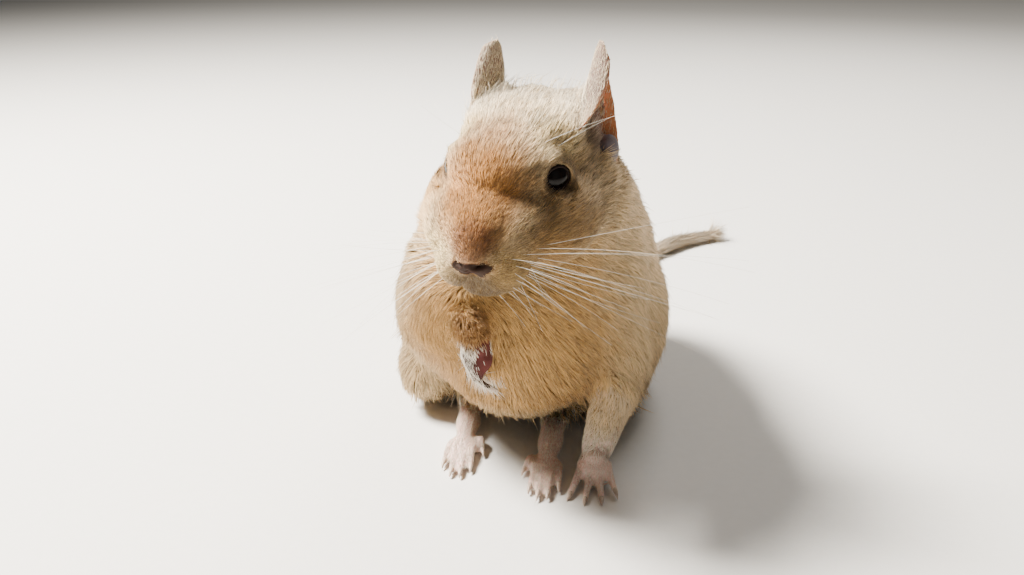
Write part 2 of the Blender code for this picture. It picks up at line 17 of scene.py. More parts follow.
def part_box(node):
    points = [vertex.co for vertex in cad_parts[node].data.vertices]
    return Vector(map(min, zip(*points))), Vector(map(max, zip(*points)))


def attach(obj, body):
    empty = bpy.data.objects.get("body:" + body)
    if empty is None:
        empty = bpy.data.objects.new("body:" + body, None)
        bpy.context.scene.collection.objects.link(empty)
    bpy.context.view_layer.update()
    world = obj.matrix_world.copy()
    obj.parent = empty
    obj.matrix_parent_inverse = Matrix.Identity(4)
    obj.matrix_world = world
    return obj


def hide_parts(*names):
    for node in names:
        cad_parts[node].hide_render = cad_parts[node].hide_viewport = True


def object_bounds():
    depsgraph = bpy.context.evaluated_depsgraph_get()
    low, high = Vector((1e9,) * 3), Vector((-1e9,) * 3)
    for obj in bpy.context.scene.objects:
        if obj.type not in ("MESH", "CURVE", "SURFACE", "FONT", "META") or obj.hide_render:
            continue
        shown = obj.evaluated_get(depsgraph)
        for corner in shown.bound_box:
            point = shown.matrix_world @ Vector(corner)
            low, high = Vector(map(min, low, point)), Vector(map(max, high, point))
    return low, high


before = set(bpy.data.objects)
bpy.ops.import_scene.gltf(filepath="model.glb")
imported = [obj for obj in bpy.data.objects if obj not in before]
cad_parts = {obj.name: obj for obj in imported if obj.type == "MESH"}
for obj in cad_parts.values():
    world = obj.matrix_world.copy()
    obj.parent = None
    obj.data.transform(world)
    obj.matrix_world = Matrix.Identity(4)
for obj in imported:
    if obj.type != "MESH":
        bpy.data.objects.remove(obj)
box_at_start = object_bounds()

MM = 0.001

# Driving sizes, the same as the solids'.
HEAD_PLACE = (0.7, -38.4, 80.2)  # body axes
HEAD_YAW = 9.0
HEAD_PITCH = 13.5
EYE_PLACE = (10.3, -0.6, 0.4)
EYE_RADIUS = 4.0
EYE_LOOK = (0.76, -0.58, 0.28)
NOSTRIL_PLACE = (1.7, -25.6, -8.6)
ELBOW_LEFT = (26.5, -17.0, 26.0)
WRIST_LEFT = (21.8, -30.0, 4.6)
ELBOW_RIGHT = (-24.0, -25.0, 36.0)
WRIST_RIGHT = (-4.8, -47.5, 41.6)
HAND_UP = (0.4, 0.05, 0.95)
HAND_BACK = (-0.7, -0.7, 0.1)
HAND_LENGTH = 5.4
FINGER_LENGTH = 8.6
FINGER_BEND = (0.35, 1.3)
HEEL_LEFT = (8.2, -9.0)
HEEL_RIGHT = (-17.0, -4.0)
FOOT_LENGTH = 36.0
TOE_LENGTH = 10.5
TAIL_ROUTE = (
    (0.0, 48.0, 16.0),
    (2.0, 65.0, 8.0),
    (9.0, 92.0, 3.9),
    (19.5, 121.0, 3.2),
    (34.0, 147.0, 3.1),
    (50.0, 163.0, 2.9),
)
TAIL_RADII = (7.0, 5.0, 4.0, 3.6, 3.4, 2.6)
BRUSH_FROM = 0.68

# Photograph: where the camera stood, on body axes, and how it looked.
CAMERA_PLACE = (41.5, -225.0, 130.0)
CAMERA_YAW = 12.0  # degrees towards the animal's right
CAMERA_PITCH = 22.0  # degrees down
CAMERA_LENS = 31.18  # on a sensor 36 mm wide

# Coat on each node: depth over the skin, length of hair and width of a tuft, all in
# millimetres, and tufts on a square millimetre.
COAT = {
    "head": (1.6, 5.8, 0.2, 11.5),
    "neck": (2.3, 8.0, 0.32, 6.4),
    "torso": (2.7, 9.5, 0.36, 4.9),
    "upper_arm_left": (2.3, 8.0, 0.32, 6.4),
    "upper_arm_right": (2.3, 8.0, 0.32, 6.4),
    "forearm_left": (0.9, 3.8, 0.19, 12.0),
    "forearm_right": (1.2, 3.6, 0.19, 12.0),
    "hind_leg_left": (2.4, 8.5, 0.36, 4.9),
    "hind_leg_right": (2.4, 8.5, 0.36, 4.9),
    "hand_left": (0.12, 1.4, 0.1, 5.0),
    "hand_right": (0.3, 4.6, 0.13, 2.2),
    "hind_foot_left": (0.15, 1.7, 0.11, 6.0),
    "hind_foot_right": (0.15, 1.7, 0.11, 6.0),
    "ear_left": (0.1, 1.6, 0.1, 5.5),
    "ear_right": (0.1, 1.6, 0.1, 8.0),
    "tail_base": (0.9, 4.0, 0.22, 8.0),
    "tail_mid": (0.7, 3.6, 0.2, 9.0),
    "tail_brush": (1.9, 12.0, 0.26, 13.0),
}
MUZZLE_COAT = (0.3, 1.5, 0.11, 27.0)  # at the nose, from where it grows to the head's
# Bare pad of the nose on head axes: middles and half sizes of its broad top and narrow foot.
NOSE_PAD = (((0.3, -23.4, -9.5), (5.0, 6.5, 1.6)), ((0.2, -24.4, -10.8), (3.2, 5.0, 1.8)))
EAR_LOBE = (18.2, 18.2, -1.9)  # head axes
EAR_LOBE_HALF = (2.6, 3.9, 4.2)
EAR_FOOT = (16.0, 18.5, 4.0)  # where the hollow of the left ear runs down to the lobe
HAND_TOP = (-4.5, -49.0, 40.5)  # body axes
# Ears on head axes: root, height, twist at the root and at the tip, lean back and outwards.
EARS = {
    "ear_left": ((4.0, 18.0, -1.5), 27.6, (-58.0, 34.0), 8.0, 27.0),
    "ear_right": ((-9.4, 18.0, -3.0), 25.2, (0.0, 0.0), 12.0, -4.0),
}
SKIN_VOXEL = 0.42
SKIN_TRIANGLES = 180000
SEAM_FILL = 0.25  # mm by which the nodes are swelled, so that they meet
TUFTS_A_PIECE = 32000  # each is 6 triangles
PATCH = 0.003  # a tuft's place on the OFBake map
WHISKER_ROOM = 1.0  # mm by which a whisker may stand out of the solids' box
COAT_ROOM = 1.0  # and a tuft


def vec(place):
    return Vector(place) * MM


def turned(x=0.0, y=0.0, z=0.0):
    """Rotation by degrees about x, then y, then z."""
    return (
        Matrix.Rotation(math.radians(z), 4, "Z")
        @ Matrix.Rotation(math.radians(y), 4, "Y")
        @ Matrix.Rotation(math.radians(x), 4, "X")
    )


def find_head():
    """Matrix from head axes to the frame: the left eye's solid says where the head is."""
    turn = turned(z=-HEAD_YAW) @ turned(x=HEAD_PITCH)
    low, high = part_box("eye_left")
    return Matrix.Translation((low + high) / 2 - turn @ vec(EYE_PLACE)) @ turn


HEAD = find_head()
BODY = Matrix.Translation(HEAD.translation - vec(HEAD_PLACE))  # from body axes to the frame


def on_body(place):
    return BODY @ vec(place)


def on_head(place):
    return HEAD @ vec(place)


def linear(hex_colour, alpha=1.0):
    """sRGB hex to linear."""
    channels = [int(hex_colour[i : i + 2], 16) / 255 for i in (1, 3, 5)]
    values = [c / 12.92 if c <= 0.04045 else ((c + 0.055) / 1.055) ** 2.4 for c in channels]
    return (*values, alpha)


def soft_step(low, high, values):
    t = np.clip((values - low) / (high - low), 0, 1)
    return t * t * (3 - 2 * t)


def smooth_route(places, count):
    """count points on a smooth curve through the places (Catmull-Rom)."""
    p = [Vector(q) for q in places]
    p = [p[0] * 2 - p[1]] + p + [p[-1] * 2 - p[-2]]
    spans = len(p) - 3
    route = []
    for i in range(count):
        at = i / (count - 1) * spans
        k = min(int(at), spans - 1)
        t = at - k
        a, b, c, d = p[k : k + 4]
        straight = 2 * b + (c - a) * t
        bend = (2 * a - 5 * b + 4 * c - d) * t * t + (3 * b - a - 3 * c + d) * t ** 3
        route.append((straight + bend) * 0.5)
    return route


def units(vectors):
    return vectors / np.maximum(np.linalg.norm(vectors, axis=1, keepdims=True), 1e-12)


def across(vectors, normals):
    """The vectors' part that lies in the surface, as unit vectors."""
    return units(vectors - normals * np.sum(vectors * normals, axis=1, keepdims=True))


def link(name, mesh):
    piece = bpy.data.objects.new(name, mesh)
    bpy.context.scene.collection.objects.link(piece)
    return piece


def mesh_of(name, points, faces, smooth=True):
    mesh = bpy.data.meshes.new(name)
    mesh.from_pydata([tuple(p) for p in points], [], faces)
    mesh.validate()
    mesh.polygons.foreach_set("use_smooth", [smooth] * len(mesh.polygons))
    return mesh


def wear(piece, material):
    """Give a piece its material and its body."""
    piece.data.materials.clear()
    piece.data.materials.append(material)
    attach(piece, "root")
    return piece


def sweep(points, radii, sides=8):
    """Corners and faces of a closed round tube along the points."""
    corners = []
    faces = []
    ahead = None
    for i, point in enumerate(points):
        along = (points[min(i + 1, len(points) - 1)] - points[max(i - 1, 0)]).normalized()
        ahead = along.orthogonal() if ahead is None else (ahead - along * ahead.dot(along))
        ahead.normalize()
        beside = along.cross(ahead)
        for j in range(sides):
            a = 2 * math.pi * j / sides
            corners.append(point + (ahead * math.cos(a) + beside * math.sin(a)) * radii[i])
    for i in range(len(points) - 1):
        for j in range(sides):
            k = (j + 1) % sides
            faces.append((i * sides + j, i * sides + k, (i + 1) * sides + k, (i + 1) * sides + j))
    faces.append(tuple(range(sides))[::-1])
    last = (len(points) - 1) * sides
    faces.append(tuple(range(last, last + sides)))
    return corners, faces


def gathered(name, tubes):
    """One piece of many tubes."""
    corners = []
    faces = []
    for more_corners, more_faces in tubes:
        base = len(corners)
        corners += more_corners
        faces += [tuple(base + i for i in face) for face in more_faces]
    return link(name, mesh_of(name, corners, faces))


# Materials.


def add(tree, kind, inputs=None, **settings):
    """Add a node with its settings and its inputs, which are values or other nodes' outputs."""
    node = tree.nodes.new(kind)
    for name, value in settings.items():
        setattr(node, name, value)
    for name, value in (inputs or {}).items():
        if isinstance(value, bpy.types.NodeSocket):
            tree.links.new(value, node.inputs[name])
        else:
            node.inputs[name].default_value = value
    return node


def new_material(name):
    material = bpy.data.materials.new(name)
    material.use_nodes = True
    tree = material.node_tree
    tree.nodes.clear()
    return material, tree


def finish_shader(tree, inputs):
    shader = add(tree, "ShaderNodeBsdfPrincipled", inputs)
    add(tree, "ShaderNodeOutputMaterial", {"Surface": shader.outputs[0]})


# The coat's colours, as soft-edged ellipsoids laid over the ground colour in turn:
# axes, middle, half sizes in millimetres, turn about x, strength, colour.
GROUND = "#d0b387"
MARKINGS = (
    ("body", (0, 30, 78), (44, 66, 32), 0, 0.75, "#bd9d6c"),  # back, a little greyer
    ("body", (0, -34, 34), (30, 26, 42), 0, 0.85, "#c0924f"),  # buff chest
    ("body", (0, -20, 8), (30, 30, 12), 0, 0.8, "#cdb588"),  # pale belly
    ("head", (0, -6, -20), (17, 18, 9), 0, 0.9, "#b08f58"),  # throat, darkened with painted shade under the head
    ("head", (0, 10, 15), (24, 18, 13), 0, 0.9, "#fbe7c0"),  # cream crown, brightened with painted sunlight on the top of the head
    ("head", (11, 3, 7), (8, 7, 5), 0, 0.9, "#e9cf9c"),  # cream over the eyes
    ("head", (-11, 3, 7), (8, 7, 5), 0, 0.9, "#e9cf9c"),
    ("head", (12, -4, -9), (9, 16, 10), 0, 0.9, "#bb925a"),  # cheeks
    ("head", (-13, 0, -8), (10, 15, 12), 0, 0.85, "#c4965a"),
    ("head", (-0.8, -8, 2), (11, 21, 11), 14, 0.95, "#a8712d"),  # tan bridge of the muzzle
    ("head", (0, -21, -5), (5.5, 8, 5.5), 0, 0.85, "#7b4c24"),  # browner above the nose
    ("head", (7, -19, -12), (5, 8, 6), 0, 0.9, "#bf9d66"),  # whisker pads, the left one darker with painted shade
    ("head", (-8.5, -18, -10.5), (5.5, 8, 6), 0, 0.9, "#e0c58f"),
    ("head", (0.5, -21, -15.8), (7.5, 8, 6.2), 0, 0.85, "#665237"),  # greyish lips and chin, darkened with painted shade under the head
    ("head", (16, 17, 4), (3, 5.5, 7.5), 0, 0.75, "#7a5f50"),  # painted shade, grey-brown, on the fur before the left ear
    ("body", (-4.6, -48, 47), (8, 8, 6), 0, 0.85, "#93693a"),  # brown fur and painted shade of the head on the raised forearm
    ("head", EYE_PLACE, (6.2, 6.2, 6.2), 0, 0.75, "#6e5137"),  # dark fur at the lids and painted shade round the eyes
    ("head", (-EYE_PLACE[0], *EYE_PLACE[1:]), (6.2, 6.2, 6.2), 0, 0.75, "#6e5137"),
)
SKIN_MARKINGS = (
    ("body", (22.3, -34, 3), (12, 16, 13), 0, 1.0, "#efd0c3"),  # left hand
    ("body", (-6, -49, 35), (10, 9, 9.5), 0, 1.0, "#3a2a26"),  # raised hand's back, dark with painted shade between its bristles
    ("body", (-0.8, -48.0, 40), (3.8, 6, 7), 0, 0.95, "#5c2e2c"),  # and its palm, dark red with painted shade
    ("body", (9, -28, 2), (10, 26, 8), 0, 1.0, "#e6c6b8"),  # hind feet
    ("body", (-14, -24, 2), (12, 26, 8), 0, 1.0, "#e6c6b8"),
    ("body", (30, 118, 3), (46, 66, 14), 0, 0.9, "#b3a08f"),  # tail
    ("head", (15.5, 22, 12), (14, 12, 17), 0, 1.0, "#7d685e"),  # ears
    ("head", (-14, 22, 12), (9, 12, 17), 0, 1.0, "#86726a"),
    ("head", EAR_FOOT, (3.2, 4.4, 7.5), 0, 0.9, "#7c5747"),  # painted shade deep in the foot of the left ear's hollow
    ("head", EAR_LOBE, (3.8, 4.8, 5.0), 0, 1.0, "#665e64"),  # lobe of the left ear
    ("head", EYE_PLACE, (4.6, 4.6, 4.6), 0, 1.0, "#43322a"),  # bare skin beside the lids, darkened with painted shade round the eyes
    ("head", (-EYE_PLACE[0], *EYE_PLACE[1:]), (4.6, 4.6, 4.6), 0, 1.0, "#43322a"),
    ("head", (0, -24, -9), (7.5, 6, 4.5), 0, 0.9, "#7c5a3c"),  # skin round the nose pad
)
PAD_MARKINGS = tuple(("head", middle, half, 0, 1.0, "#2c1c14") for middle, half in NOSE_PAD)


def add_markings(tree, markings, ground=None, edge=(0.75, 1.4)):
    """The colour at a place on the animal. Skin and coat share the first list."""
    place = add(tree, "ShaderNodeTexCoord").outputs["Object"]
    stray = add(tree, "ShaderNodeTexNoise", {"Vector": place, "Scale": 240.0, "Detail": 2.0})
    colour = ground
    if ground is None:
        colour = add(tree, "ShaderNodeRGB").outputs[0]
        colour.default_value = linear(GROUND)
    for axes, middle, half, turn, strength, tint in markings:
        home = HEAD if axes == "head" else BODY
        spot = home @ Matrix.Translation(vec(middle)) @ turned(x=turn)
        local = add(
            tree,
            "ShaderNodeMapping",
            {
                "Vector": place,
                "Location": spot.translation,
                "Rotation": spot.to_euler(),
                "Scale": vec(half),
            },
            vector_type="TEXTURE",
        )
        away = add(tree, "ShaderNodeVectorMath", {0: local.outputs[0]}, operation="LENGTH")
        ragged = add(
            tree,
            "ShaderNodeMath",
            {0: stray.outputs[0], 1: 0.35, 2: away.outputs["Value"]},
            operation="MULTIPLY_ADD",
        )
        share = add(
            tree,
            "ShaderNodeMapRange",
            {"Value": ragged.outputs[0], 1: edge[0], 2: edge[1], 3: strength, 4: 0.0},
            interpolation_type="SMOOTHSTEP",
        )
        mix = add(
            tree, "ShaderNodeMix", {0: share.outputs[0], 6: colour, 7: linear(tint)}, data_type="RGBA"
        )
        colour = mix.outputs[2]
    return colour


def make_coat_material():
    """Fur: each hair is darker at its root, paler at its tip and a little unlike the next."""
    material, tree = new_material("sand_fur")
    colour = add_markings(tree, MARKINGS)
    tuft = add(tree, "ShaderNodeAttribute", attribute_name="tuft")
    split = add(tree, "ShaderNodeSeparateColor", {0: tuft.outputs["Color"]})
    tone = add(tree, "ShaderNodeMapRange", {"Value": split.outputs[0], 3: 0.42, 4: 1.5})
    rise = add(tree, "ShaderNodeMapRange", {"Value": split.outputs[1], 3: 0.45, 4: 1.2})
    shade = add(
        tree, "ShaderNodeMath", {0: tone.outputs[0], 1: rise.outputs[0]}, operation="MULTIPLY"
    )
    toned = add(
        tree,
        "ShaderNodeVectorMath",
        {0: colour, "Scale": shade.outputs[0]},
        operation="SCALE",
    )
    pale = add(tree, "ShaderNodeMapRange", {"Value": split.outputs[2], 3: 0.0, 4: 1.0})
    mixed = add(
        tree,
        "ShaderNodeMix",
        {0: pale.outputs[0], 6: toned.outputs[0], 7: linear("#efe6d8")},
        data_type="RGBA",
    )
    finish_shader(
        tree,
        {
            "Base Color": mixed.outputs[2],
            "Roughness": 0.62,
            "Specular IOR Level": 0.3,
            "Sheen Weight": 0.05,
            "Sheen Roughness": 0.5,
        },
    )
    return material


def make_skin_material():
    """Thin skin with short hair: pink where bare, streaked as the coat where it is covered."""
    material, tree = new_material("thin_skin")
    outside = add_markings(tree, MARKINGS + SKIN_MARKINGS)
    hollow = add(tree, "ShaderNodeAttribute", attribute_name="hollow")
    warm = add(
        tree,
        "ShaderNodeMix",
        {0: hollow.outputs["Fac"], 6: outside, 7: linear("#a56c4a")},
        data_type="RGBA",
    )
    colour = add_markings(tree, PAD_MARKINGS, warm.outputs[2], (1.05, 1.3))
    place = add(tree, "ShaderNodeTexCoord").outputs["Object"]
    # Hair roots about 0.25 mm apart, drawn as streaks.
    streak = add(tree, "ShaderNodeTexNoise", {"Vector": place, "Scale": 2600.0, "Detail": 3.0})
    # Creases about 0.8 mm apart on the bare skin.
    crease = add(tree, "ShaderNodeTexVoronoi", {"Vector": place, "Scale": 1250.0})
    dark = add(tree, "ShaderNodeMapRange", {"Value": streak.outputs[0], 1: 0.3, 2: 0.7, 3: 0.84, 4: 1.06})
    toned = add(
        tree, "ShaderNodeVectorMath", {0: colour, "Scale": dark.outputs[0]}, operation="SCALE"
    )
    height = add(
        tree,
        "ShaderNodeMath",
        {0: crease.outputs[0], 1: 0.5, 2: streak.outputs[0]},
        operation="MULTIPLY_ADD",
    )
    bump = add(
        tree, "ShaderNodeBump", {"Height": height.outputs[0], "Strength": 0.4, "Distance": 0.00008}
    )
    finish_shader(
        tree,
        {
            "Base Color": toned.outputs[0],
            "Roughness": 0.68,
            "Specular IOR Level": 0.12,
            "Subsurface Weight": 0.15,
            "Subsurface Scale": 0.001,
            "Normal": bump.outputs[0],
        },
    )
    return material


def make_eye_material():
    """Wet cornea over a near-black iris: it reads as one glossy black bead, brown at its rim."""
    material, tree = new_material("wet_dark_eye")
    place = add(tree, "ShaderNodeTexCoord").outputs["Object"]
    fibres = add(tree, "ShaderNodeTexNoise", {"Vector": place, "Scale": 1500.0})
    ramp = add(tree, "ShaderNodeMapRange", {"Value": fibres.outputs[0], 1: 0.4, 2: 0.7})
    iris = add(
        tree,
        "ShaderNodeMix",
        {0: ramp.outputs[0], 6: linear("#060404"), 7: linear("#120b08")},
        data_type="RGBA",
    )
    finish_shader(
        tree,
        {
            "Base Color": iris.outputs[2],
            "Roughness": 0.12,
            "IOR": 1.36,
            "Specular IOR Level": 0.24,
        },
    )
    return material


def make_horn_material(name, root, tip, roughness):
    """Keratin, as in claws and whiskers: smooth, with streaks along it."""
    material, tree = new_material(name)
    place = add(tree, "ShaderNodeTexCoord").outputs["Object"]
    streak = add(tree, "ShaderNodeTexNoise", {"Vector": place, "Scale": 900.0})
    colour = add(
        tree,
        "ShaderNodeMix",
        {0: streak.outputs[0], 6: linear(root), 7: linear(tip)},
        data_type="RGBA",
    )
    finish_shader(tree, {"Base Color": colour.outputs[2], "Roughness": roughness})
    return material


def make_lid_material():
    """Bare dark skin of the lid's edge, moist, with fine wrinkles 0.2 mm apart."""
    material, tree = new_material("bare_lid_skin")
    place = add(tree, "ShaderNodeTexCoord").outputs["Object"]
    wrinkle = add(tree, "ShaderNodeTexNoise", {"Vector": place, "Scale": 4000.0})
    colour = add(
        tree,
        "ShaderNodeMix",
        {0: wrinkle.outputs[0], 6: linear("#160f0d"), 7: linear("#2a1e1a")},
        data_type="RGBA",
    )
    bump = add(
        tree, "ShaderNodeBump", {"Height": wrinkle.outputs[0], "Strength": 0.4, "Distance": 0.0001}
    )
    finish_shader(
        tree,
        {
            "Base Color": colour.outputs[2],
            "Roughness": 0.75,
            "Specular IOR Level": 0.12,
            "Normal": bump.outputs[0],
        },
    )
    return material


# The skin.

FLESH = [node for node in COAT if node != "tail_brush"]


def make_skin():
    """One closed skin over all the nodes of flesh, before it is drawn in."""
    build = bmesh.new()
    for node in FLESH:
        build.from_mesh(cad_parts[node].data)
    bmesh.ops.remove_doubles(build, verts=build.verts, dist=0.000001)
    count = 60
    route = [BODY @ (p * MM) for p in smooth_route(TAIL_ROUTE, count)]
    start = int((BRUSH_FROM - 0.02) * count)
    radii = [(3.3 - 2.2 * ((i - start) / (count - start)) ** 2) * MM for i in range(start, count)]
    core = mesh_of("core", *sweep(route[start:], radii))
    build.from_mesh(core)
    lobe = HEAD @ Matrix.Translation(vec(EAR_LOBE)) @ Matrix.Diagonal((*vec(EAR_LOBE_HALF), 1))
    bmesh.ops.create_icosphere(build, subdivisions=3, radius=1, matrix=lobe)
    mesh = bpy.data.meshes.new("skin")
    build.to_mesh(mesh)
    build.free()
    skin = link("skin", mesh)
    swell = skin.modifiers.new("swell", "DISPLACE")
    swell.strength = SEAM_FILL * MM
    swell.mid_level = 0.0
    merge = skin.modifiers.new("merge", "REMESH")
    merge.mode = "VOXEL"
    merge.voxel_size = SKIN_VOXEL * MM
    relax = skin.modifiers.new("relax", "SMOOTH")
    relax.iterations = 6
    thin = skin.modifiers.new("thin", "DECIMATE")
    bpy.context.view_layer.update()
    graph = bpy.context.evaluated_depsgraph_get()
    whole = skin.evaluated_get(graph)
    thin.ratio = 1.0
    triangles = sum(len(face.vertices) - 2 for face in whole.data.polygons)
    thin.ratio = min(1.0, SKIN_TRIANGLES / triangles)
    thin.use_collapse_triangulate = True
    bpy.context.view_layer.update()
    graph = bpy.context.evaluated_depsgraph_get()
    final = bpy.data.meshes.new_from_object(skin.evaluated_get(graph))
    bpy.data.objects.remove(skin)
    skin = link("skin", final)
    final.polygons.foreach_set("use_smooth", [True] * len(final.polygons))
    return skin


class Surface:
    """The skin's places, normals and neighbours as arrays."""

    def __init__(self, mesh):
        count = len(mesh.vertices)
        self.places = np.empty(count * 3)
        mesh.vertices.foreach_get("co", self.places)
        self.places = self.places.reshape(-1, 3)
        self.normals = np.empty(count * 3)
        mesh.vertices.foreach_get("normal", self.normals)
        self.normals = self.normals.reshape(-1, 3)
        self.edges = np.empty(len(mesh.edges) * 2, int)
        mesh.edges.foreach_get("vertices", self.edges)
        self.edges = self.edges.reshape(-1, 2)
        mesh.calc_loop_triangles()
        self.triangles = np.empty(len(mesh.loop_triangles) * 3, int)
        mesh.loop_triangles.foreach_get("vertices", self.triangles)
        self.triangles = self.triangles.reshape(-1, 3)
        self.loops = np.empty(len(mesh.loop_triangles) * 3, int)
        mesh.loop_triangles.foreach_get("loops", self.loops)
        self.loops = self.loops.reshape(-1, 3)
        ends = np.concatenate((self.edges[:, 0], self.edges[:, 1]))
        self.valence = np.bincount(ends, minlength=count) + 1.0

    def spread(self, values, rounds):
        """Values averaged with their neighbours', over and over."""
        first, second = self.edges.T
        flat = values.reshape(len(values), -1).copy()
        for _ in range(rounds):
            for k in range(flat.shape[1]):
                column = flat[:, k]
                total = column + np.bincount(first, column[second], len(column))
                total += np.bincount(second, column[first], len(column))
                flat[:, k] = total / self.valence
        return flat.reshape(values.shape)


def nearest_nodes(places):
    """For each place, the number of the flesh node that is nearest."""
    names = list(COAT)
    corners = [(k, v.co) for k, n in enumerate(names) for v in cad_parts[n].data.vertices]
    tree = kdtree.KDTree(len(corners))
    for i, (k, corner) in enumerate(corners):
        tree.insert(corner, i)
    tree.balance()
    owner = np.array([k for k, corner in corners])
    return owner[[tree.find(place)[1] for place in places]]


def in_head(places):
    """Places in millimetres on head axes."""
    back = np.array(HEAD.inverted())
    return (places @ back[:3, :3].T + back[:3, 3]) / MM


def in_body(places):
    return (places - np.array(BODY.translation)) / MM


def in_hollow(surface, owner):
    """1 on the skin inside the cups of the ears, 0 elsewhere."""
    inside = np.zeros(len(owner))
    for k, node in enumerate(COAT):
        if node not in EARS:
            continue
        root, height, twist, back, out = EARS[node]
        side = 1 if root[0] > 0 else -1
        home = HEAD @ Matrix.Translation(vec(root)) @ turned(x=-back, y=out * side)
        axes = np.array(home.to_3x3())
        rise = (surface.places - np.array(home.translation)) @ axes[:, 2] / (height * MM)
        angle = np.radians(twist[0] + (twist[1] - twist[0]) * np.clip(rise, 0, 1))
        opening = np.stack((np.cos(angle) * side, np.sin(angle), 0 * angle), axis=1) @ axes.T
        facing = np.sum(surface.normals * opening, axis=1)
        inside = np.where(owner == k, soft_step(0.0, 0.4, facing), inside)
    return surface.spread(inside, 3)


def bristled(body):
    """1 where the raised forearm's fur has given way to the hand's bristles, on body axes."""
    below = 1 - soft_step(41.5, 44, body[:, 2])
    return below * (1 - soft_step(5, 8, np.linalg.norm(body - HAND_TOP, axis=1)))


def coat_fields(surface, owner):
    """Depth, length, width and density of the coat at each of the skin's corners."""
    table = np.array([COAT[node] for node in COAT])
    fields = table[owner]
    names = np.array(list(COAT))[owner]
    head = in_head(surface.places)
    palm = surface.normals @ -np.array(Vector(HAND_BACK).normalized())
    muzzle = 1 - soft_step(-25, 6, head[:, 1])
    muzzle[names != "head"] = 0
    fields = fields * (1 - muzzle[:, None]) + np.array(MUZZLE_COAT) * muzzle[:, None]
    fields = surface.spread(fields, 30)
    for side in (1, -1):
        eye = np.array(EYE_PLACE) * (side, 1, 1)
        away = np.linalg.norm(head - eye, axis=1)
        near = 1 - soft_step(4.6, 8.5, away)
        fields[:, 0] *= 1 - 0.85 * near
        fields[:, 1] *= 1 - 0.7 * near
        fields[:, 2] *= 1 - 0.45 * near
        fields[:, 3] *= np.where(away < 4.4, 0, 1 + near)
    pad = np.min([np.linalg.norm((head - m) / half, axis=1) for m, half in NOSE_PAD], axis=0)
    fields[:, 0] *= soft_step(0.9, 1.6, pad)
    fields[:, 3] *= soft_step(0.74, 0.95, pad)
    # The hair parts round the left ear's lobe and is short at the raised wrist.
    body = in_body(surface.places)
    for place, here, reach, least, thin in (
        (EAR_LOBE, head, 8.0, 0.25, 0.03),
        (EAR_FOOT, head, 7.0, 0.35, 0.2),
        (HAND_TOP, body, 8.0, 0.35, 1.0),
    ):
        away = np.linalg.norm(here - place, axis=1)
        fields[:, :2] *= (least + (1 - least) * soft_step(0.35 * reach, reach, away))[:, None]
        fields[:, 3] *= thin + (1 - thin) * soft_step(0.55 * reach, 0.75 * reach, away)
    # The left forearm's fur thins out to the wrist, the raised one's turns to bristles.
    bare = ((1 - soft_step(5, 19, body[:, 2])) * (names == "forearm_left"))[:, None]
    fields = fields * (1 - bare) + np.array((0.15, 1.7, 0.12, 6.5)) * bare
    bristly = (bristled(body) * (names == "forearm_right"))[:, None]
    fields = fields * (1 - bristly) + np.array((0.3, 3.4, 0.13, 2.2)) * bristly
    # Longer hair on the crown, and on the hind feet above the toes.
    crown = soft_step(2, 12, head[:, 1]) * soft_step(2, 9, head[:, 2]) * (names == "head")
    fields[:, 1] *= 1 + 0.3 * crown
    rise = soft_step(5, 11, in_body(surface.places)[:, 2])[:, None]
    for foot in ("hind_foot_left", "hind_foot_right"):
        furry = rise * (names == foot)[:, None]
        fields = fields * (1 - furry) + np.array((0.5, 3.2, 0.2, 9.0)) * furry
    fields[:, 3] *= 1 - 0.8 * in_hollow(surface, owner)
    hidden = soft_step(-0.1, 0.35, palm) * soft_step(35, 37, body[:, 2])
    fields[:, 3] *= 1 - 0.95 * hidden * (names == "hand_right")
    bare = np.linalg.norm((body - (-0.8, -49, 40)) / (3.6, 5, 5), axis=1)
    fields[:, 3] *= 0.12 + 0.88 * soft_step(0.7, 1.4, bare)
    fields[:, 3] *= 1 + 0.9 * (1 - soft_step(-7, -4, body[:, 0])) * (names == "hand_right")
    under = (body[:, 2] < 1.2) & (surface.normals[:, 2] < -0.5)
    fields[under, 3] = 0
    return fields


def lie_of_coat(surface, owner):
    """The way that the hair lies at each corner, along the skin."""
    names = np.array(list(COAT))[owner]
    head = in_head(surface.places)
    body = in_body(surface.places)
    flow = np.tile((0.0, 0.8, -0.55), (len(body), 1))
    flow[:, 0] += 0.006 * body[:, 0]
    on_top = names == "head"
    turn = np.array(HEAD.to_3x3())
    spray = head - (0, -30, -10)
    spray[:, 2] *= 0.8
    back = units(spray) + (0, 0.55, 0)
    flow[on_top] = (back @ turn.T)[on_top]
    flow[names == "forearm_left"] = Vector(WRIST_LEFT) - Vector(ELBOW_LEFT)
    flow[names == "forearm_right"] = (0.3, -0.15, -1)
    for side in ("left", "right"):
        flow[names == f"upper_arm_{side}"] = (0, 0.2, -0.95)
        flow[names == f"hind_leg_{side}"] = (0, 0.45, -0.8)
        flow[names == f"hind_foot_{side}"] = (0, -1, 0)
    flow[names == "hand_left"] = (0, -1, -0.3)
    hand = names == "hand_right"
    flow[hand] = (0, -0.1, -0.92)
    flow[hand, 0] = 0.55 * soft_step(-7.5, -3.5, body[hand, 0])
    for ear in ("ear_left", "ear_right"):
        flow[names == ear] = turn @ (0, 0.1, 1)
    route = np.array([p * 1.0 for p in smooth_route(TAIL_ROUTE, 60)])
    ahead = units(np.gradient(route, axis=0))
    for part in ("tail_base", "tail_mid", "tail_brush"):
        chosen = names == part
        near = np.argmin(
            np.linalg.norm(body[chosen][:, None, :] - route[None], axis=2), axis=1
        )
        flow[chosen] = ahead[near]
    flow = surface.spread(across(flow, surface.normals), 110)
    return across(flow, surface.normals)


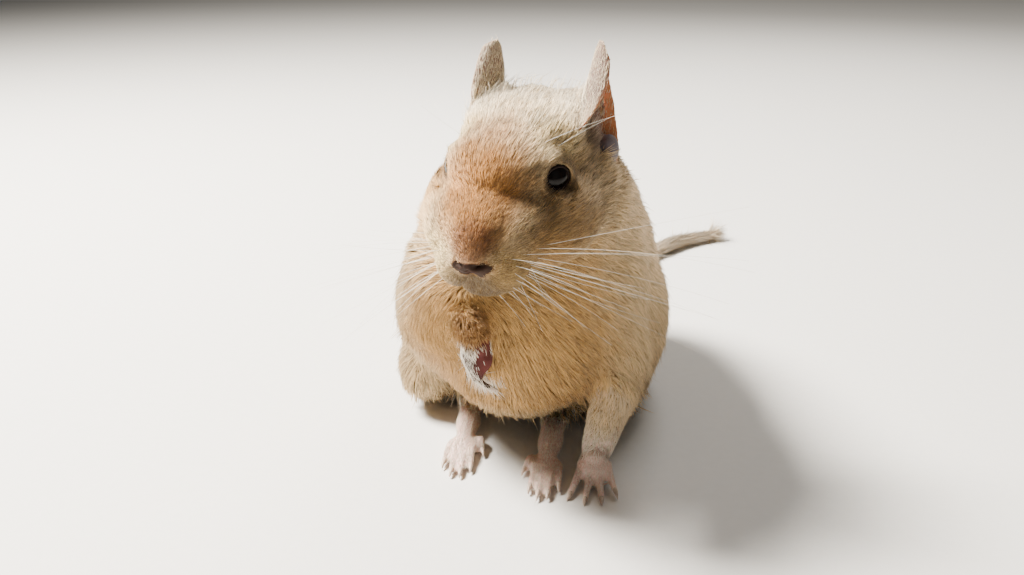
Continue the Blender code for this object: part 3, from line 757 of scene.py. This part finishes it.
def groove_depth(head, route, radius):
    """1 on the route, falling to 0 at the radius, for places on head axes."""
    line = np.array([tuple(p) for p in smooth_route(route, 24)])
    depth = np.zeros(len(head))
    for point in line:
        depth = np.maximum(depth, 1 - np.linalg.norm(head - point, axis=1) / radius)
    return soft_step(0, 1, depth)


def sculpt_face(surface):
    """Nostrils, the cleft under the nose and the line of the mouth."""
    head = in_head(surface.places)
    push = np.zeros(len(head))
    x, y, z = NOSTRIL_PLACE
    for side in (1, -1):
        nostril = [(x * side, y - 0.4, z + 0.2), ((x + 0.9) * side, y + 0.2, z - 0.3)]
        nostril.append(((x + 1.5) * side, y + 1.3, z + 0.3))
        push -= 1.5 * groove_depth(head, nostril, 0.95)
        lip = [(0, -24.0, -12.4), (2.2 * side, -22.8, -16.2), (5.8 * side, -18.2, -18.2)]
        lip.append((8.8 * side, -12.0, -16.6))
        lip = [head[np.argmin(np.linalg.norm(head - place, axis=1))] for place in lip]
        push -= 0.8 * groove_depth(head, lip, 1.1)
    cleft = [(0, -26.5, -10.2), (0, -25.6, -11.8), (0, -24.0, -13.0)]
    cleft = [head[np.argmin(np.linalg.norm(head - place, axis=1))] for place in cleft]
    push -= 0.7 * groove_depth(head, cleft, 0.8)
    return push * MM


def draw_in(skin):
    """Move the skin inwards by the coat's depth and add the face's small forms."""
    surface = Surface(skin.data)
    owner = nearest_nodes(surface.places)
    fields = coat_fields(surface, owner)
    inward = -(fields[:, 0] + SEAM_FILL) * MM
    inward = inward + sculpt_face(surface)
    places = surface.places + surface.normals * inward[:, None]
    places[:, 2] = np.maximum(places[:, 2], 0.00005)
    hollow = in_hollow(surface, owner)
    skin.data.vertices.foreach_set("co", places.ravel())
    skin.data.update()
    attribute = skin.data.attributes.new("hollow", "FLOAT", "POINT")
    attribute.data.foreach_set("value", hollow)
    return owner


def unwrap(skin):
    """The skin's own unwrap, on which the tufts' patches lie too."""
    bpy.ops.object.select_all(action="DESELECT")
    skin.select_set(True)
    bpy.context.view_layer.objects.active = skin
    bpy.ops.object.mode_set(mode="EDIT")
    bpy.ops.mesh.select_all(action="SELECT")
    bpy.ops.uv.smart_project(angle_limit=math.radians(80), island_margin=0.002)
    bpy.ops.object.mode_set(mode="OBJECT")
    skin.data.uv_layers[0].name = "OFBake"


# The coat.


def scatter(surface, density, chance):
    """Triangles and weights of the tufts' roots, spread by density per square millimetre."""
    a, b, c = (surface.places[surface.triangles[:, k]] for k in range(3))
    area = np.linalg.norm(np.cross(b - a, c - a), axis=1) / 2 / MM ** 2
    expected = area * density[surface.triangles].mean(axis=1)
    counts = np.floor(expected + chance.random(len(expected))).astype(int)
    chosen = np.repeat(np.arange(len(counts)), counts)
    weights = chance.dirichlet((1.5, 1.5, 1.5), len(chosen))
    return chosen, weights


def at_roots(surface, values, chosen, weights):
    corners = values[surface.triangles[chosen]]
    if corners.ndim == 2:
        return np.sum(corners * weights, axis=1)
    return np.sum(corners * weights[:, :, None], axis=1)


def snapped(tree, places, heights, normals, reach):
    """The places moved to a height over the skin nearest to them, and the normal there."""
    points = np.empty_like(places)
    up = np.empty_like(places)
    for i in range(len(places)):
        near, normal, _, gap = tree.find_nearest(places[i])
        turned_away = normal.dot(Vector(normals[i])) < 0.1
        if turned_away or gap > reach[i]:
            points[i] = places[i] + normals[i] * heights[i]
            up[i] = normals[i]
        else:
            points[i] = near + normal * heights[i]
            up[i] = normal
    return points, up


def trimmed(corners):
    """The tufts, those that would pass the solids' box shortened to its side."""
    root = corners[:, :1]
    reach = corners[:, 4] - corners[:, 0]
    share = np.ones(len(corners))
    for side, sign in ((np.array(box_at_start[1]), 1), (np.array(box_at_start[0]), -1)):
        room = (side - corners[:, 0]) * sign + COAT_ROOM * MM
        share = np.minimum(share, np.min(room / np.maximum(reach * sign, 1e-6), axis=1))
    return root + (corners - root) * np.clip(share, 0.15, 1)[:, None, None]


def make_tufts(skin, owner):
    """All the tufts as arrays: each is a flat tapered blade that follows the skin."""
    chance = np.random.default_rng(11)
    surface = Surface(skin.data)
    fields = coat_fields(surface, owner)
    flow = lie_of_coat(surface, owner)
    tree = BVHTree.FromPolygons(surface.places.tolist(), surface.triangles.tolist())
    chosen, weights = scatter(surface, fields[:, 3], chance)
    root = at_roots(surface, surface.places, chosen, weights)
    normal = units(at_roots(surface, surface.normals, chosen, weights))
    lie = across(at_roots(surface, flow, chosen, weights), normal)
    depth, length, width, _ = at_roots(surface, fields, chosen, weights).T * MM
    count = len(root)
    node = owner[surface.triangles[chosen][:, 0]]

    # Neighbouring hairs lean to a common tip.
    seeds = chance.choice(count, count // 16, replace=False)
    locks = kdtree.KDTree(len(seeds))
    for i, seed in enumerate(seeds):
        locks.insert(root[seed], i)
    locks.balance()
    lock = np.array([locks.find(place)[1] for place in root])
    gather = np.clip((length / MM - 2) / 18, 0, 0.36)
    pull = (root[seeds][lock] - root) * gather[:, None]
    pull -= normal * np.sum(pull * normal, axis=1, keepdims=True)
    raised = np.isin(node, [list(COAT).index(n) for n in ("hand_right", "forearm_right")])
    pull[raised] *= 0.2
    sway = chance.normal(0, 0.06, len(seeds))[lock] + chance.normal(0, 0.11, count)
    sway[raised] *= 0.4
    side = np.cross(normal, lie)
    lie = units(lie + side * sway[:, None])
    length = length * chance.uniform(0.72, 1.12, count)
    length = length * (1 + 0.08 * chance.normal(0, 1, len(seeds)))[lock]
    height = depth * chance.uniform(0.75, 1.15, count)
    height = height * (1 + 0.08 * chance.normal(0, 1, len(seeds)))[lock]
    # One hair in thirty is a long fine guard hair that stands clear of the rest.
    guard = chance.random(count) < 0.033
    head = in_head(root)
    crown = soft_step(4, 12, head[:, 1]) * soft_step(3, 8, head[:, 2]) * (node == 0)
    height[guard] *= 1.45 + 2.0 * crown[guard]
    length[guard] *= 1.3 + 0.5 * crown[guard]
    width[guard] *= 0.6
    # The whisker pads and cheeks are fluffed out, most on the right, which the light strikes.
    around = head + (0, 14.5, 8.5) - np.sign(head[:, :1]) * (11.5, 0, 0)
    fluff = 1 - soft_step(0.3, 1.0, np.linalg.norm(around / (7, 9, 8), axis=1))
    fluff *= np.where(head[:, 0] < 0, 1.0, 0.35) * (node == 0)
    height += fluff * chance.uniform(1.4, 2.6, count) * MM
    length += fluff * 2.8 * MM
    width *= 1 + 0.35 * fluff

    run = np.sqrt(np.maximum(length ** 2 - height ** 2, (0.3 * length) ** 2))
    middle, up_middle = snapped(
        tree, root + lie * (run * 0.42)[:, None] + pull * 0.4, height * 0.62, normal, run
    )
    tip, up_tip = snapped(
        tree, root + lie * run[:, None] + pull, height, normal, run
    )
    sunk = root - normal * (0.2 * MM)
    beside = units(np.cross(tip - sunk, up_middle))
    thick = (width * 0.4)[:, None]
    half = (width * 0.5)[:, None]
    corners = np.stack(
        (sunk, middle + beside * half, middle - beside * half, middle + up_middle * thick, tip),
        axis=1,
    )
    corners[:, :, 2] = np.maximum(corners[:, :, 2], 0.0001)
    corners = trimmed(corners)
    uv = np.empty(len(skin.data.loops) * 2)
    skin.data.uv_layers["OFBake"].data.foreach_get("uv", uv)
    uv = uv.reshape(-1, 2)[surface.loops[chosen]]
    uv = np.sum(uv * weights[:, :, None], axis=1)
    tone = np.clip(
        0.5 + 0.24 * chance.normal(0, 1, count) + 0.07 * chance.normal(0, 1, len(seeds))[lock], 0, 1
    )
    # Some hairs are dark to their tips, most of them on the head.
    often = np.array([0.14, 0.07, 0.05] + [0.02] * (len(COAT) - 3))[node]
    tone = np.where(chance.random(count) < often, tone * 0.25, tone)
    tone = np.where(node == 0, tone, 0.5 + 0.75 * (tone - 0.5))
    names = np.array(list(COAT))[node]
    body = in_body(root)
    pale = np.array([PALE_NODES.get(n, 0.0) for n in COAT])[node]
    pale = np.where(names == "forearm_left", 0.2 + 0.65 * (1 - soft_step(5, 17, body[:, 2])), pale)
    pale = np.where(names == "forearm_right", bristled(body) * 1.2, pale)
    # Paler hairs on the crown: partly painted sunlight on the top of the head.
    pale = (pale + 0.3 * crown) * chance.uniform(0.5, 1.4, count)
    rise = soft_step(5, 11, body[:, 2]) * np.char.startswith(names, "hind")
    pale = np.clip(pale * (1 - rise), 0, 1)
    return {"corners": corners, "uv": uv, "tone": tone, "node": node, "pale": pale}


BLADE_FACES = ((0, 2, 1), (0, 3, 2), (0, 1, 3), (4, 1, 2), (4, 2, 3), (4, 3, 1))
BLADE_RISE = (0.0, 0.45, 0.45, 0.45, 1.0)
BLADE_PATCH = ((0.5, 0), (0, 0.5), (1, 0.5), (0.5, 0.6), (0.5, 1))
PALE_NODES = {"hand_left": 0.85, "hand_right": 1.2, "hind_foot_left": 0.75, "hind_foot_right": 0.75}
PALE_NODES.update({"ear_left": 0.3, "ear_right": 0.35, "tail_brush": 0.35})


def blades(name, tufts, picked, material):
    """One piece of the coat, from the picked tufts."""
    corners = tufts["corners"][picked]
    count = len(corners)
    sizes = [3] * len(BLADE_FACES)
    flat = np.array([i for face in BLADE_FACES for i in face])
    ends = len(BLADE_RISE)
    loops = (np.arange(count)[:, None] * ends + flat[None]).ravel()
    starts = np.cumsum([0] + sizes[:-1])
    mesh = bpy.data.meshes.new(name)
    mesh.vertices.add(count * ends)
    mesh.vertices.foreach_set("co", corners.ravel())
    mesh.loops.add(len(loops))
    mesh.loops.foreach_set("vertex_index", loops)
    mesh.polygons.add(count * len(sizes))
    mesh.polygons.foreach_set(
        "loop_start", (np.arange(count)[:, None] * len(flat) + starts[None]).ravel()
    )
    mesh.polygons.foreach_set("use_smooth", [True] * (count * len(sizes)))
    mesh.update(calc_edges=True)
    colour = np.ones((count, ends, 4))
    colour[:, :, 0] = tufts["tone"][picked][:, None]
    colour[:, :, 1] = np.array(BLADE_RISE)[None]
    colour[:, :, 2] = tufts["pale"][picked][:, None]
    attribute = mesh.color_attributes.new("tuft", "FLOAT_COLOR", "POINT")
    attribute.data.foreach_set("color", colour.ravel())
    patch = (np.array(BLADE_PATCH) - 0.5)[flat] * PATCH
    uv = np.clip(tufts["uv"][picked][:, None, :] + patch[None], 0, 1)
    layer = mesh.uv_layers.new(name="OFBake")
    layer.data.foreach_set("uv", uv.ravel())
    return wear(link(name, mesh), material)


def make_coat(skin, owner, material):
    tufts = make_tufts(skin, owner)
    groups = {
        "coat_head": ("head", "ear_left", "ear_right"),
        "coat_front": ("neck", "forearm_left", "forearm_right", "upper_arm_left", "upper_arm_right"),
        "coat_body": ("torso",),
        "coat_legs": ("hind_leg_left", "hind_leg_right", "hand_left", "hand_right",
                      "hind_foot_left", "hind_foot_right"),
        "coat_tail": ("tail_base", "tail_mid", "tail_brush"),
    }
    names = list(COAT)
    for group, nodes in groups.items():
        picked = np.flatnonzero(np.isin(tufts["node"], [names.index(n) for n in nodes]))
        parts = -(-len(picked) // TUFTS_A_PIECE)
        for k in range(parts):
            blades(f"{group}_{k + 1}", tufts, picked[k::parts], material)
    print("tufts", len(tufts["tone"]), {n: int((tufts["node"] == k).sum()) for k, n in enumerate(names)})


# Eyes, lids, whiskers and claws.


def eye_frame(side):
    """The eye's own axes: its centre at the origin, looking along +z."""
    eye = (EYE_PLACE[0] * side, EYE_PLACE[1], EYE_PLACE[2])
    look = Vector((EYE_LOOK[0] * side, EYE_LOOK[1], EYE_LOOK[2])).normalized()
    return HEAD @ Matrix.Translation(vec(eye)) @ look.to_track_quat("Z", "Y").to_matrix().to_4x4()


def make_eye(side, name, material):
    """An eyeball with the clear front a little raised."""
    build = bmesh.new()
    bmesh.ops.create_uvsphere(build, u_segments=48, v_segments=32, radius=1)
    for corner in build.verts:
        raised = soft_step(0.45, 0.9, corner.co.z)
        corner.co *= EYE_RADIUS * MM * (1 + 0.03 * raised)
    mesh = bpy.data.meshes.new(name)
    build.to_mesh(mesh)
    build.free()
    mesh.polygons.foreach_set("use_smooth", [True] * len(mesh.polygons))
    mesh.transform(eye_frame(side))
    eye = wear(link(name, mesh), material)
    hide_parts(name.replace("eyeball", "eye"))


def make_lids(side, name, material):
    """The bare rims of both lids: a rounded band lying on the eyeball."""
    frame_here = eye_frame(side)
    points = []
    count = 64
    for i in range(count):
        a = 2 * math.pi * i / count
        spread = math.radians(44.0 * abs(math.cos(a)) ** 2 + 35.5 * abs(math.sin(a)) ** 2)
        toward = Vector((math.sin(spread) * math.cos(a), math.sin(spread) * math.sin(a), math.cos(spread)))
        points.append(frame_here @ (toward * (EYE_RADIUS + 0.1) * MM))
    corners = []
    faces = []
    sides = 10
    depth = 0.2 if side > 0 else 0.45
    centre = frame_here.translation
    for i, point in enumerate(points):
        along = (points[(i + 1) % count] - points[i - 1]).normalized()
        out = (point - centre).normalized()
        beside = along.cross(out)
        for j in range(sides):
            b = 2 * math.pi * j / sides
            corners.append(point + (out * math.cos(b) * depth + beside * math.sin(b) * 0.36) * MM)
    for i in range(count):
        for j in range(sides):
            k = (j + 1) % sides
            n = (i + 1) % count
            faces.append((i * sides + j, n * sides + j, n * sides + k, i * sides + k))
    wear(link(name, mesh_of(name, corners, faces)), material)


def whisker(root, aim, length, bend, thick):
    """One hair that leaves along aim and bends away, towards its thin tip."""
    steps = 11
    points = []
    for i in range(steps):
        t = i / (steps - 1)
        points.append(root + aim * length * t + bend * length * t ** 2.2)
    radii = [max(thick * (1 - i / (steps - 1)) ** 0.7, 0.018 * MM) for i in range(steps)]
    return sweep(points, radii, 5)


def room_for(root, aim, length):
    """The length that keeps the tip within WHISKER_ROOM of the solids' box."""
    low, high = box_at_start
    for k in range(3):
        edge = high[k] + WHISKER_ROOM * MM if aim[k] > 0 else low[k] - WHISKER_ROOM * MM
        if abs(aim[k]) > 0.01:
            length = min(length, (edge - root[k]) / aim[k])
    return length


def make_whiskers(skin, material):
    chance = np.random.default_rng(4)
    tree = BVHTree.FromObject(skin, bpy.context.evaluated_depsgraph_get())
    turn = HEAD.to_3x3()
    tubes = []

    def grow(start, cast, aim, length, thick):
        hit = tree.ray_cast(on_head(start), turn @ Vector(cast))
        if hit[0] is None:
            return
        aim = (turn @ Vector(aim)).normalized()
        bend = Vector((chance.uniform(-0.06, 0.06), chance.uniform(0.0, 0.2), chance.uniform(-0.22, 0.04)))
        reach = room_for(hit[0], aim + bend, length * MM)
        tubes.append(whisker(hit[0] - aim * 0.4 * MM, aim, reach, bend, thick * MM))

    for side in (1, -1):
        for row in range(5):
            for column in range(4):
                y = -21.5 + column * 2.3 + chance.uniform(-0.5, 0.5)
                z = -8.2 - row * 1.6 - column * 0.15 + chance.uniform(-0.4, 0.4)
                swing = (-0.12 if side > 0 else -0.5) + 0.24 * column + chance.uniform(-0.16, 0.16)
                lift = 0.1 - 0.2 * row - 0.06 * column + chance.uniform(-0.13, 0.13)
                length = (20 + 11.0 * column - 1.5 * row) * chance.uniform(0.8, 1.15)
                length *= 1 if side > 0 else 1.25
                grow((20 * side, y, z), (-side, 0, 0), (side, swing, lift), length, 0.046)
        for k in range(2):
            x = (8.5 + 2.4 * k) * side
            aim = (0.8 * side, 0.1 + 0.5 * k, 0.42)
            grow((x, -0.5 + 3 * k, 30), (0, 0, -1), aim, chance.uniform(14, 22), 0.042)
        for k in range(7):
            x = chance.uniform(1, 7) * side
            aim = (0.5 * side, chance.uniform(-0.3, 0.3), -0.8)
            grow((x, chance.uniform(-20, -6), -40), (0, 0, 1), aim, chance.uniform(5, 12), 0.04)
    return wear(gathered("whiskers", tubes), material)


def hand_frames():
    left = BODY @ Matrix.Translation(vec(WRIST_LEFT)) @ turned(x=20, z=6)
    back = Vector(HAND_BACK).normalized()
    rear = Vector(HAND_UP)
    rear = (rear - back * rear.dot(back)).normalized()
    axes = Matrix((rear.cross(back), rear, back)).transposed().to_4x4()
    right = BODY @ Matrix.Translation(vec(WRIST_RIGHT)) @ axes
    return (("left", 1, left, -4), ("right", -1, right, 42))


def foot_frames():
    for name, side, heel, splay in (("left", 1, HEEL_LEFT, 3), ("right", -1, HEEL_RIGHT, 8)):
        yield name, side, BODY @ Matrix.Translation(vec((*heel, 0))) @ turned(z=splay)


def claw(home, tip, point):
    """A curved claw from inside the fingertip to its point."""
    bow = (tip + point) / 2 + Vector((0, 0, 0.35))
    route = smooth_route([tip - (point - tip) * 0.25, bow, point + Vector((0, 0, -0.15))], 7)
    radii = [r * MM for r in (0.6, 0.62, 0.56, 0.46, 0.34, 0.2, 0.05)]
    places = [home @ (p * MM) for p in route]
    for place, radius in zip(places, radii):
        place.z = max(place.z, radius + 0.05 * MM)
    return sweep(places, radii, 8)


def make_claws(material):
    for name, side, home, curl in hand_frames():
        tubes = []
        for k in range(4):
            spread = (k - 1.5) * side
            reach = FINGER_LENGTH * (1.0, 1.05, 0.98, 0.78)[k] * (1 - 0.0035 * curl)
            knuckle = Vector((spread * 2.3, -HAND_LENGTH + abs(spread) * 0.9, 0))
            aim = Vector((spread * (0.18 - curl * 0.002), -1, 0)).normalized() * reach / 2
            middle = knuckle + turned(x=curl * FINGER_BEND[0]).to_3x3() @ aim
            tip = middle + turned(x=curl * FINGER_BEND[1]).to_3x3() @ aim
            ahead = (tip - middle).normalized()
            tubes.append(claw(home, tip, tip + turned(x=12).to_3x3() @ ahead * 2.4))
        wear(gathered(f"claws_hand_{name}", tubes), material)
    sole = FOOT_LENGTH - TOE_LENGTH - 0.5
    for name, side, home in foot_frames():
        tubes = []
        for k in range(5):
            spread = (k - 2.2) * side
            reach = TOE_LENGTH * (0.45, 0.86, 1.0, 0.98, 0.8)[k]
            start = Vector((spread * 1.85, -sole + (4.6, 1.4, 0.4, 0.6, 2.4)[k], 1.6))
            end = Vector((spread * 2.35, start.y - reach, 1.0))
            ahead = (end - start).normalized()
            tubes.append(claw(home, end + Vector((0, 0, 0.3)), end + ahead * 2.6))
        wear(gathered(f"claws_foot_{name}", tubes), material)


# Floor, light and camera.


def area_light(name, place, size, power, tint):
    lamp = bpy.data.lights.new(name, "AREA")
    lamp.energy = power
    lamp.size = size
    lamp.color = tint
    light = bpy.data.objects.new(name, lamp)
    bpy.context.scene.collection.objects.link(light)
    light.location = place
    aim = Vector((0, -0.04, 0.05)) - Vector(place)
    light.rotation_mode = "QUATERNION"
    light.rotation_quaternion = aim.to_track_quat("-Z", "Y")


def make_studio():
    corners = [(-8, -8, 0), (8, -8, 0), (8, 8, 0), (-8, 8, 0)]
    floor = link("floor", mesh_of("floor", corners, [(0, 1, 2, 3)], smooth=False))
    material, tree = new_material("matt_painted_board")
    place = add(tree, "ShaderNodeTexCoord").outputs["Object"]
    grain = add(tree, "ShaderNodeTexNoise", {"Vector": place, "Scale": 400.0})
    shade = add(
        tree,
        "ShaderNodeMix",
        {0: grain.outputs[0], 6: linear("#dedbd5"), 7: linear("#e4e1dc")},
        data_type="RGBA",
    )
    finish_shader(tree, {"Base Color": shade.outputs[2], "Roughness": 0.8})
    floor.data.materials.append(material)
    area_light("key", (-0.52, -0.02, 0.7), 0.26, 52.0, (1.0, 0.95, 0.87))
    area_light("fill", (0.6, -0.7, 0.4), 0.7, 0.4, (1.0, 0.98, 0.94))
    area_light("rim", (0.15, 0.7, 0.7), 0.4, 6.0, (1.0, 0.97, 0.93))
    world = bpy.data.worlds.new("studio")
    bpy.context.scene.world = world
    world.use_nodes = True
    shine = world.node_tree.nodes["Background"]
    shine.inputs[0].default_value = linear("#efece6")
    shine.inputs[1].default_value = 0.13


def make_camera():
    camera = bpy.data.objects.new("camera", bpy.data.cameras.new("camera"))
    bpy.context.scene.collection.objects.link(camera)
    bpy.context.scene.camera = camera
    camera.data.sensor_width = 36
    camera.data.lens = CAMERA_LENS
    camera.data.clip_start = 0.005
    yaw = math.radians(CAMERA_YAW)
    pitch = math.radians(CAMERA_PITCH)
    ahead = Vector((-math.sin(yaw) * math.cos(pitch), math.cos(yaw) * math.cos(pitch), -math.sin(pitch)))
    camera.location = on_body(CAMERA_PLACE)
    camera.rotation_mode = "QUATERNION"
    camera.rotation_quaternion = ahead.to_track_quat("-Z", "Y")


def main():
    make_studio()
    make_camera()
    skin = make_skin()
    owner = draw_in(skin)
    unwrap(skin)
    wear(skin, make_skin_material())
    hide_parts(*COAT)
    make_coat(skin, owner, make_coat_material())
    eye_material = make_eye_material()
    lid_material = make_lid_material()
    for side, name in ((1, "left"), (-1, "right")):
        make_eye(side, f"eyeball_{name}", eye_material)
        make_lids(side, f"lids_{name}", lid_material)
    make_whiskers(skin, make_horn_material("whisker_keratin", "#e9dfcd", "#fffaf0", 0.35))
    make_claws(make_horn_material("claw_keratin", "#a08878", "#dcc8b6", 0.3))


main()
